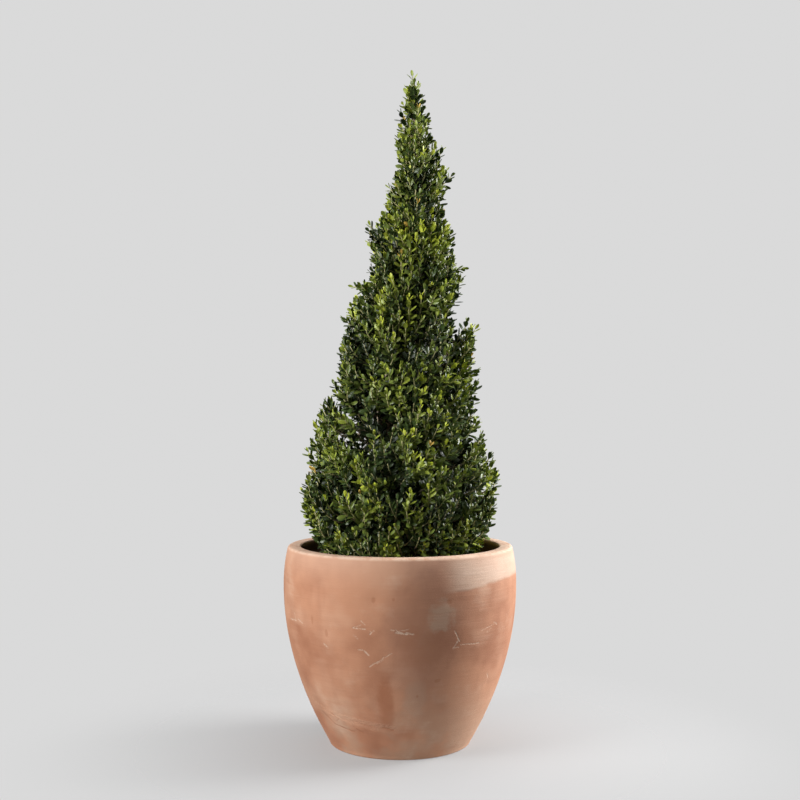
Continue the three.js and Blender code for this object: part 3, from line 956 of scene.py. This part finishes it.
# %% Limb tree
def limb_tree():
    tree = ShapeTree("barked_limb", {
        "Sides": ("Int", 12), "Relief": ("Float", 0.0016), "Roots": ("Int", 0),
        "Root Height": ("Float", FLARE_HEIGHT), "Root Swell": ("Float", 0.25 * FLARE_RADIUS),
        "Bark": ("Material", None),
    })
    given = tree.given
    tube = tree.tube()
    position = tree.shape("InputPosition")
    x, y, z = tree.axes(position)
    bark = tree.cloud(position, 160.0, 2.0, stretch=(1.0, 1.0, 0.22))
    lobes = tree.maths("COSINE", tree.maths("ARCTAN2", y, x) * given["Roots"])
    fall = tree.maths("EXPONENT", -(z - SOIL_LEVEL) / given["Root Height"])
    swell = tree.maths("MINIMUM", fall, 1.0) * lobes * given["Root Swell"]
    push = (bark - 0.5) * given["Relief"] + swell
    scaled = {0: tree.shape("InputNormal"), "Scale": push}
    offset = tree.node("ShaderNodeVectorMath", {"operation": "SCALE"}, scaled)
    return tree.end(tree.shape("SetPosition", Geometry=tube, Offset=offset), {"Bark": True})


limbs = limb_tree()
print("limb tree defined")

# %% Trunk and boughs
def bark_finish():
    """Grey-brown bark, paler on its ridges, with darker cracks along the limb."""
    material, tree, place = new_material("boxwood_bark")
    ridges = tree.cloud(place, 160.0, 3.0, stretch=(1.0, 1.0, 0.22))
    flakes = tree.cloud(place, 420.0, 3.0, stretch=(1.0, 1.0, 0.45))
    colour = tree.blend(tree.fade(ridges, 0.35, 0.65), (0.090, 0.062, 0.040), (0.270, 0.205, 0.140))
    tree.set_shader({
        "Base Color": tree.blend(0.5 * tree.fade(flakes, 0.55, 0.72), colour, (0.360, 0.300, 0.220)),
        "Roughness": 0.86 - 0.1 * flakes,
        "Normal": tree.relief(ridges * 0.6 + flakes * 0.4, 0.0008),
    })
    return material


bark = bark_finish()
trunk_mesh = lines_mesh("trunk_line", [trunk_points], {"radius": [trunk_radii]})
trunk = run_tree(limbs, trunk_mesh, "trunk_bark", {
    "Sides": 28, "Relief": 0.0026, "Roots": FLARE_ROOTS, "Bark": bark,
})
bough_lines = [line for line, _ in boughs.values()]
bough_mesh = lines_mesh("bough_lines", bough_lines, {"radius": [r for _, r in boughs.values()]})
bough_piece = run_tree(limbs, bough_mesh, "boughs_bark", {
    "Sides": 12, "Relief": 0.0014, "Root Swell": 0.0, "Bark": bark,
})
for piece, solids in ((trunk, ["trunk"]), (bough_piece, ["bough_" + name for name in boughs])):
    outward(piece)
    settle(piece, solids)
    print(f"{piece.name}: {triangles(piece.data)} triangles")

# %% [markdown]
# ## Where the shoots end
# A clipped boxwood is a dense coat of short leafy shoots, whose tips make its outline. So the tips
# are placed first. They are spread over the outward faces of each foliage solid, no two closer than
# a set gap. Two sparser coats lie deeper, to fill the shade behind the first.

# %% Tip tree
def tip_tree():
    tree = ShapeTree("shoot_tips", {"Gap": ("Float", 0.014), "Seed": ("Int", 1)})
    points = tree.spread(True, tree.given["Gap"], 30000.0)
    normal = tree.other(points, "Normal")
    facing = tree.store(points, "facing", normal, "FLOAT_VECTOR", "POINT")
    return tree.end(tree.shape("PointsToVertices", Points=facing), {}, smooth=False)


tips_group = tip_tree()


def spread_tips(mass, gap, seed):
    """Points spread over one foliage solid, with the direction its surface faces there."""
    settings = {"Gap": gap, "Seed": seed}
    piece = run_tree(tips_group, nodes[mass].data, "tips", settings, keep=("facing",))
    places = np.array([corner.co for corner in piece.data.vertices]).reshape(-1, 3)
    facings = np.array([item.vector for item in piece.data.attributes["facing"].data]).reshape(-1, 3)
    bpy.data.objects.remove(piece)
    return places, facings


print("tip tree defined")

# %% Shoot tips
OUTWARD_LEAST = 0.10
UNDERSIDE_LEAST = 0.62
COATS = [
    # gap between tips, depth under the surface, share of tips kept in bare patches
    (0.0150, 0.008, 0.20), (0.0225, 0.036, 0.50), (0.0330, 0.075, 0.80),
]
PATCH = 0.055
ROOM_NEEDED = 1.5
POINT_START = 1.295
SIDE_SHIFTS = [
    # side, height, span of height and shift to the right of a hollow or bulge of the outline
    (-1, 1.140, 0.080, 0.020), (-1, 0.960, 0.050, 0.013), (-1, 0.750, 0.050, 0.014),
    (-1, 0.560, 0.060, 0.012), (1, 1.075, 0.025, -0.012), (1, 0.830, 0.040, 0.016),
    (1, 0.550, 0.030, 0.012),
]


def sideways(places):
    """Unit vectors level with the ground, from the trunk towards each place."""
    out = places - spines(places[:, 2])
    out[:, 2] = 0.0
    return out / np.maximum(np.linalg.norm(out, axis=1, keepdims=True), 1e-6)


def lushness(place):
    """Soft patches over the crown, from about -0.6 where it is bare to 0.6 where it is full."""
    return noise.noise(Vector(place) / PATCH)


def coat(mass, number, gap, depth, bare_kept, random):
    """Shoot tips on the outer side of a mass, at a depth under the clipped surface."""
    places, facings = spread_tips(mass, gap, number)
    out = sideways(places)
    middles = spines(places[:, 2])
    radii = np.linalg.norm(places[:, :2] - middles[:, :2], axis=1)
    cones = np.array([cone_radius(z) for z in places[:, 2]])
    outer = ((facings * out).sum(axis=1) > OUTWARD_LEAST) & (radii > 0.6 * cones)
    under = (facings[:, 2] < -UNDERSIDE_LEAST) & (radii > UNDERSIDE_LEAST * cones)
    under &= places[:, 2] < CROWN_FOOT + 0.05
    lush = np.array([lushness(place) for place in places])
    full = random.random(len(places)) < np.clip(0.80 + 1.9 * lush, bare_kept, 1.0)
    wanted = np.where(outer & ~under, np.maximum(radii, 0.985 * cones), radii)
    point = np.clip((CROWN_TIP - places[:, 2]) / (CROWN_TIP - POINT_START), 0, 1)
    wanted = np.maximum(wanted - depth + 0.020 * np.minimum(lush, 0.15), 0.15 * cones)
    wanted = wanted * (0.45 + 0.55 * point)
    places = middles + wanted[:, None] * out
    for side, height, span, shift in SIDE_SHIFTS:
        near = np.exp(-(((places[:, 2] - height) / span) ** 2))
        places[:, 0] += shift * near * np.clip(side * out[:, 0], 0, 1)
    places[under, 2] += 0.5 * depth
    kept = (outer | under) & full & (cones > ROOM_NEEDED * depth)
    return places[kept], facings[kept]


masses = [name for name in nodes if name.startswith("foliage_")]
tips = {}
for number, mass in enumerate(masses):
    random_tips = np.random.default_rng(500 + number)
    tips[mass] = [
        coat(mass, 100 * layer + number, *settings, random_tips)
        for layer, settings in enumerate(COATS, start=1)
    ]
print("shoot tips:", sum(len(layer[0]) for layers in tips.values() for layer in layers))

# %% [markdown]
# ## Growing the crown
# Each mass grows from its bough by one rule, worked back from the tips as a gardener would trace
# it. Every tip gets a shoot that starts lower and deeper, heads outwards and turns up to the light.
# Neighbouring shoots share a fork, and a branch joins each fork to the nearest point of the bough.
# Seeded random numbers vary length, direction and vigour, so every run grows the same plant.

# %% Shoots
SHOOT_LENGTH = (0.055, 0.090)
SHOOT_STEPS = 7
LONG_SHARE = 0.13
LONG_REACH = (0.009, 0.024)
TIP_SPREAD = 0.0055
SCATTER = 0.20
RISE, OUTREACH = 1.00, 0.42
LOW_RISE, LOW_OUTREACH = 0.35, 0.85
POT_CLEARANCE = 0.012
SOIL_CLEARANCE = 0.006
TRUNK_SIDE = 0.004


def clear_of_pot(line):
    """Keeps a line's points inside the lip and above the soil, where it comes near them."""
    inside = np.array([pot_inside(min(z, POT_HEIGHT)) for z in line[:, 2]]) - POT_CLEARANCE
    radii = np.maximum(np.linalg.norm(line[:, :2], axis=1), 1e-6)
    low = line[:, 2] < POT_HEIGHT + POT_CLEARANCE
    squeeze = np.where(low & (radii > inside), inside / radii, 1.0)
    line[:, :2] *= squeeze[:, None]
    line[:, 2] = np.maximum(line[:, 2], SOIL_LEVEL + SOIL_CLEARANCE)
    return line


def unit(vector):
    return vector / max(np.linalg.norm(vector), 1e-9)


def grow_shoot(tip, facing, random, outermost):
    """A shoot that ends near the tip: its lower part heads outwards, its upper part upwards."""
    out = sideways(tip[None, :])[0]
    hangs = facing[2] < -0.5
    rise, reach = (LOW_RISE, LOW_OUTREACH) if hangs else (RISE, OUTREACH)
    scatter = random.normal(0, SCATTER, 3)
    heading = unit(reach * out + np.array([0, 0, rise]) + scatter)
    length = random.uniform(*SHOOT_LENGTH)
    end = tip + heading * random.normal(0, TIP_SPREAD)
    if outermost and random.random() < LONG_SHARE:
        extra = random.uniform(*LONG_REACH)
        end = end + heading * extra
        length = length + extra
    start_heading = unit(1.3 * out + 0.25 * heading + 0.5 * scatter)
    t = np.linspace(1, 0, SHOOT_STEPS)[:, None]
    line = end - heading * length * t * (1 - 0.5 * t) - start_heading * length * 0.5 * t**2
    from_trunk = ((line - spines(line[:, 2])) * out).sum(axis=1)
    line += np.maximum(TRUNK_SIDE - from_trunk, 0.0)[:, None] * out
    return clear_of_pot(line)


print("shoots of", SHOOT_LENGTH, "m")

# %% Forks and branches
FORK_SPACING = 0.045
FORK_DEPTH = 0.024
FORK_DROP = 0.012
BRANCH_STEPS = 7
BRANCH_RADII = (0.0036, 0.0021)
STALK_RADII = (0.0021, 0.0017)
LEAF_REACH = 0.006
LEADER_TOP = (0.026, 0.0, 1.374)
LEADER_LENGTH = 0.075
OPENINGS = [
    # across, height and radius of the openings that show the light behind, from the front
    (-0.116, 0.681, 0.005), (-0.114, 0.625, 0.006), (-0.071, 0.609, 0.008), (-0.075, 0.636, 0.006),
    (0.153, 0.627, 0.007), (-0.068, 0.957, 0.007), (0.114, 0.874, 0.007), (0.118, 0.851, 0.007),
]


def fork_groups(starts):
    """Gathers shoot starts into groups, each within one cell of a cubic grid."""
    groups = {}
    for number, cell in enumerate(map(tuple, np.floor(starts / FORK_SPACING).astype(int))):
        groups.setdefault(cell, []).append(number)
    return groups.values()


def branch(limb, limb_radii, fork, random):
    """A branch from the limb to a fork, leaving the limb a little below the fork."""
    below = fork - np.array([0, 0, 0.03])
    nearest = int(np.argmin(np.linalg.norm(limb - below, axis=1)))
    start = limb[nearest]
    knee = 0.5 * (start + fork)
    knee[2] -= 0.12 * np.linalg.norm(fork - start)
    knee += random.normal(0, 0.004, 3)
    thickest = min(BRANCH_RADII[0], 0.8 * limb_radii[nearest])
    radii = np.linspace(thickest, min(BRANCH_RADII[1], thickest), BRANCH_STEPS)
    return bent_line(start, knee, fork, BRANCH_STEPS), radii


def stalk(fork, start):
    """Bare wood between a fork and the start of a shoot."""
    return np.linspace(fork, start, 4), np.linspace(*STALK_RADII, 4)


def spares_openings(shoot):
    """Whether a shoot keeps clear of every opening, seen from the camera's place."""
    nearer = CAMERA_DISTANCE / (CAMERA_DISTANCE + shoot[2:, 1])
    across = shoot[2:, 0] * nearer
    up = CAMERA_HEIGHT + (shoot[2:, 2] - CAMERA_HEIGHT) * nearer
    return not any(
        (np.hypot(across - x, up - z) < radius + LEAF_REACH).any() for x, z, radius in OPENINGS
    )


def grow_mass(mass, seed):
    """All shoots, stalks and branches of one mass of foliage."""
    random = np.random.default_rng(seed)
    limb, limb_radii = boughs.get(mass.removeprefix("foliage_"), (trunk_points, trunk_radii))
    shoots, layers, wood = [], [], []
    for layer, (places, facings) in enumerate(tips[mass]):
        for tip, facing in zip(places, facings):
            shoot = grow_shoot(tip, facing, random, layer == 0)
            if spares_openings(shoot):
                shoots.append(shoot)
                layers.append(layer)
    starts = np.array([shoot[0] for shoot in shoots])
    for group in fork_groups(starts):
        middle = starts[group].mean(axis=0)
        room = np.linalg.norm((middle - spine(middle[2]))[:2])
        depth = min(FORK_DEPTH, 0.8 * room)
        fork = middle - depth * sideways(middle[None, :])[0] - np.array([0, 0, FORK_DROP])
        fork = clear_of_pot(fork[None, :])[0]
        wood.append(branch(limb, limb_radii, fork, random))
        wood += [stalk(fork, starts[number]) for number in group]
    return {"shoots": shoots, "layers": layers, "wood": wood}


def grow_leader(random):
    """The upright shoots that end the trunk, the middle one highest."""
    shoots = []
    for spread, drop in ((0.0, 0.0), (0.010, 0.018), (-0.009, 0.026), (0.004, 0.034)):
        end = np.array(LEADER_TOP) + np.array([spread, 0.5 * spread * random.normal(), -drop])
        low = end[2] - LEADER_LENGTH
        start = np.array([spine(low)[0], 0.4 * spread, low])
        t = np.linspace(0, 1, SHOOT_STEPS)[:, None]
        shoots.append((1 - t) * start + t * end + 0.003 * np.sin(math.pi * t) * random.normal(0, 1, 3))
    wood = [stalk(trunk_points[-1], shoot[0]) for shoot in shoots]
    return {"shoots": shoots, "layers": [0] * len(shoots), "wood": wood}


crown = {mass: grow_mass(mass, 1000 + number) for number, mass in enumerate(masses)}
for label, items in grow_leader(np.random.default_rng(9)).items():
    crown["foliage_leader"][label] += items
shoot_count = sum(len(part["shoots"]) for part in crown.values())
print(shoot_count, "shoots on", sum(len(p["wood"]) for p in crown.values()) - shoot_count, "branches")

# %% [markdown]
# ## Colours of the foliage
# Old leaves are a deep, glossy green. New growth is yellow-green, and here and there a spray has
# turned golden. Each is one plain finish, dealt out by the spray: a shoot takes a tone from soft
# patches over the crown, and its top pairs of leaves are a step younger than the rest. Shoots of
# the deeper coats mostly take the darkest tone, leaf_shaded, which is painted shade.

# %% Leaf and twig finishes
PLANT_GLOSS = 0.44
LEAF_TONES = [
    # name, base colour, roughness
    # leaf_shaded is painted shade, a darker copy of the leaf green for leaves deep in the crown
    ("leaf_shaded", (0.018, 0.032, 0.008), 0.40),
    ("leaf_old", (0.056, 0.090, 0.022), 0.34),
    ("leaf_green", (0.145, 0.192, 0.035), 0.36),
    ("leaf_new", (0.290, 0.350, 0.046), 0.40),
    ("leaf_bright", (0.490, 0.545, 0.055), 0.48),
    ("leaf_gold", (0.580, 0.390, 0.080), 0.50),
]
TWIG_TONES = [
    ("twig_old", (0.470, 0.385, 0.270), 0.75),
    ("twig_young", (0.440, 0.410, 0.190), 0.60),
]
finishes = {tone[0]: plain_finish(*tone, PLANT_GLOSS) for tone in LEAF_TONES + TWIG_TONES}
print(len(LEAF_TONES), "leaf tones and", len(TWIG_TONES), "twig tones")

# %% Tones and sizes of the shoots
TONE_PATCH = 0.09
FLUSH_SHARE = 0.20
GOLD_SHARE = 0.012
TOP_YOUNGER = 0.7
TOP_START = 1.0
TOP_SPAN = 0.3


def height_share(z):
    """0 up to the middle of the crown, 1 near its top."""
    return min(1.0, max(0.0, (z - TOP_START) / TOP_SPAN))


def shoot_tone(tip, layer, random):
    """A shoot's tone, from 0, the painted-shade dark green, to 3, young and bright."""
    # shoots of the deeper coats mostly take tone 0, the painted-shade green
    if layer > 0:
        return random.choice([0, 0, 1])
    patch = noise.noise(Vector(tip) / TONE_PATCH)
    young = 1.4 + 1.3 * patch + TOP_YOUNGER * height_share(tip[2])
    return int(np.clip(round(young + random.normal(0, 0.8)), 0, 3))


def shoot_flush(tip, layer, random):
    """How many tones younger a shoot's top is: 1 on most, 2 in new growth, 5 where golden."""
    if layer > 0:
        return 0
    gold = GOLD_SHARE * (1 + 3 * height_share(tip[2]))
    chance = random.random()
    return 5 if chance < gold else 2 if chance < gold + FLUSH_SHARE else 1


random_tones = np.random.default_rng(77)
for part in crown.values():
    ends = [(shoot[-1], layer) for shoot, layer in zip(part["shoots"], part["layers"])]
    part["tone"] = [shoot_tone(*end, random_tones) for end in ends]
    part["flush"] = [shoot_flush(*end, random_tones) for end in ends]
    part["size"] = [random_tones.uniform(0.85, 1.12) * (1 + 0.1 * layer) for _, layer in ends]
tone_counts = np.bincount([tone for part in crown.values() for tone in part["tone"]], minlength=4)
print("shoots of each tone:", tone_counts.tolist())

# %% [markdown]
# ## Twigs and leaves
# Bare wood shows between the leaves as thin pale lines. A tier's twigs are swept in one tree with
# a four-sided section, which is enough at a millimetre thick.
#
# A boxwood leaf is a small stiff oval, folded a little along its midrib, with its edges turned
# down. Leaves stand in opposite pairs, and each pair is turned a quarter turn from the last. The
# tree sets points along every shoot at the distance of the pairs and puts the two leaves of a pair
# there. Low on the shoot they spread wide, and at its top they close up round the bud.

# %% Twig tree
def twig_tree():
    tree = ShapeTree("twigs", {
        "Sides": ("Int", 4), "twig_old": ("Material", None), "twig_young": ("Material", None),
    })
    return tree.end(tree.tube(), {"twig_old": True, "twig_young": tree.stored("young") > 0.5})


twig_group = twig_tree()
print("twig tree defined")

# %% Leaf shape
LEAF_ROWS = [
    # share of the length, half width, height of the midrib, drop of the edge
    (0.00, 0.00, 0.00, 0.00), (0.16, 0.24, 0.02, 0.03), (0.42, 0.45, 0.04, 0.08),
    (0.68, 0.50, 0.02, 0.10), (0.90, 0.33, -0.03, 0.07), (1.00, 0.00, -0.07, 0.00),
]


def leaf_shape():
    """One leaf, one unit long and one wide, growing along +X with its upper side to +Z."""
    points = [(LEAF_ROWS[0][0], 0.0, LEAF_ROWS[0][2])]
    for x, half, rib, drop in LEAF_ROWS[1:-1]:
        points += [(x, -half, rib - drop), (x, 0.0, rib), (x, half, rib - drop)]
    points.append((LEAF_ROWS[-1][0], 0.0, LEAF_ROWS[-1][2]))
    last = len(points) - 1
    faces = [(0, 1, 2), (0, 2, 3)]
    for left in range(1, last - 3, 3):
        middle, right = left + 1, left + 2
        faces += [(left, left + 3, middle + 3, middle), (middle, middle + 3, right + 3, right)]
    faces += [(last - 3, last, last - 2), (last - 2, last, last - 1)]
    return add_mesh("leaf_shape", points, faces)


leaf = leaf_shape()
print("leaf:", triangles(leaf.data), "triangles")

# %% Leaf tree
PAIR_GAP = 0.0081
LEAF_LENGTH = 0.0200
LEAF_WIDTH = 0.0095


def leaf_tree():
    tree = ShapeTree("leaves_in_pairs", {
        "Leaf": ("Object", None), "Seed": ("Int", 1), "Pair Gap": ("Float", PAIR_GAP),
        "Length": ("Float", LEAF_LENGTH), "Width": ("Float", LEAF_WIDTH),
        **{name: ("Material", None) for name, _, _ in LEAF_TONES},
    })
    given = tree.given
    curve = tree.shape("MeshToCurve", Mesh=given["Geometry"])
    steps = {"Curve": curve, "Length": given["Pair Gap"]}
    points = tree.node("GeometryNodeCurveToPoints", {"mode": "LENGTH"}, steps)
    along, tone, reach, grown, flush = map(tree.stored, ("along", "tone", "reach", "size", "flush"))
    tangent = {"Vector": tree.other(points, "Tangent")}
    upright = tree.node("FunctionNodeAlignRotationToVector", {"axis": "Z"}, tangent)
    pair = tree.maths("ROUND", reach / given["Pair Gap"])
    quarter = tree.maths("MODULO", pair, 2.0) * (math.pi / 2)
    both = tree.node_tree.nodes.new("GeometryNodeJoinGeometry")
    for side in range(2):
        seed = given["Seed"] + 10 * side
        spin = quarter + side * math.pi + tree.random(-0.45, 0.45, seed)
        lift = 0.74 + 0.62 * along**3 + tree.random(-0.30, 0.25, seed + 1)
        roll = tree.random(-0.55, 0.55, seed + 2)
        turned = tree.node("FunctionNodeEulerToRotation", None, {0: tree.vector(X=roll, Y=-lift, Z=spin)})
        rotation = tree.node("FunctionNodeRotateRotation", {"rotation_space": "LOCAL"},
                             {"Rotation": upright, "Rotate By": turned})
        size = grown * tree.random(0.84, 1.14, seed + 3) * (1.0 - 0.38 * along**5)
        length, width = size * given["Length"], size * given["Width"]
        scale = tree.vector(X=length, Y=width, Z=length)
        placed = tree.place_copies(points, given["Leaf"], rotation, scale)
        younger = along + tree.random(-0.08, 0.08, seed + 4) > 0.84
        odd = tree.maths("ROUND", tree.random(-0.62, 0.58, seed + 5))
        aged = tree.maths("MINIMUM", tone + odd, 3.0)
        fresh = tree.maths("MINIMUM", tone + flush, 4.0 + (flush > 4.5))
        shade = tree.maths("MAXIMUM", aged + younger * (fresh - aged), 0.0)
        tree.feed(both.inputs[0], tree.store(placed, "shade", shade, "FLOAT", "INSTANCE"))
    shade = tree.stored("shade")
    tones = {name: shade > number - 0.5 for number, (name, _, _) in enumerate(LEAF_TONES)}
    return tree.end(Value(tree, both.outputs[0]), tones)


leaf_group = leaf_tree()
print("leaf tree defined")

# %% Twigs and leaves
GROUPS = {
    "tier1_near": ["tier1_4", "tier1_5", "tier1_6"],
    "tier1_far": ["tier1_1", "tier1_2", "tier1_3"],
    "tier2_near": ["tier2_3", "tier2_4", "tier2_5"],
    "tier2_far": ["tier2_1", "tier2_2"],
    "tier3": ["tier3_1", "tier3_2", "tier3_3", "tier3_4"],
    "upper": ["tier4_1", "tier4_2", "tier4_3", "leader"],
}
BARE_SHARE = (0.12, 0.42)
SHOOT_RADII = (0.0019, 0.0010)


def leafy_part(shoot, bare):
    """The upper part of a shoot, which carries leaves, and its distance from its start."""
    steps = np.linalg.norm(np.diff(shoot, axis=0), axis=1)
    reach = np.concatenate([[0.0], np.cumsum(steps)])
    places = np.linspace(bare * reach[-1], reach[-1], SHOOT_STEPS)
    line = np.stack([np.interp(places, reach, shoot[:, axis]) for axis in range(3)], axis=1)
    return line, places


def twigs_of(group, parts):
    """All bare wood of a group, with its shoots greener towards their tips."""
    lines, radii, young = [], [], []
    for part in parts:
        for line, line_radii in part["wood"]:
            lines.append(line)
            radii.append(line_radii)
            young.append(np.zeros(len(line)))
        lines += part["shoots"]
        radii += [np.linspace(*SHOOT_RADII, SHOOT_STEPS)] * len(part["shoots"])
        young += [np.linspace(0.2, 1.0, SHOOT_STEPS)] * len(part["shoots"])
    mesh = lines_mesh("twig_lines", lines, {"radius": radii, "young": young})
    return run_tree(twig_group, mesh, "twigs_" + group, finishes)


def leaves_of(group, parts, seed):
    random = np.random.default_rng(seed + 3)
    lines = []
    values = {"along": [], "reach": [], "tone": [], "flush": [], "size": []}
    for part in parts:
        for number, shoot in enumerate(part["shoots"]):
            line, places = leafy_part(shoot, random.uniform(*BARE_SHARE))
            lines.append(line)
            values["reach"].append(places)
            values["along"].append(np.linspace(0, 1, len(line)))
            for label in ("tone", "flush", "size"):
                values[label].append(np.full(len(line), float(part[label][number])))
    mesh = lines_mesh("leafy_lines", lines, values)
    return run_tree(leaf_group, mesh, "leaves_" + group, {"Leaf": leaf, "Seed": seed, **finishes})


for number, (group, names) in enumerate(GROUPS.items()):
    solids = ["foliage_" + name for name in names]
    parts = [crown[solid] for solid in solids]
    for piece, slot in ((twigs_of(group, parts), "bark"), (leaves_of(group, parts, 50 * number), "leaves")):
        settle(piece, solids)
        print(f"{piece.name}: {triangles(piece.data)} triangles")
bpy.data.objects.remove(leaf)
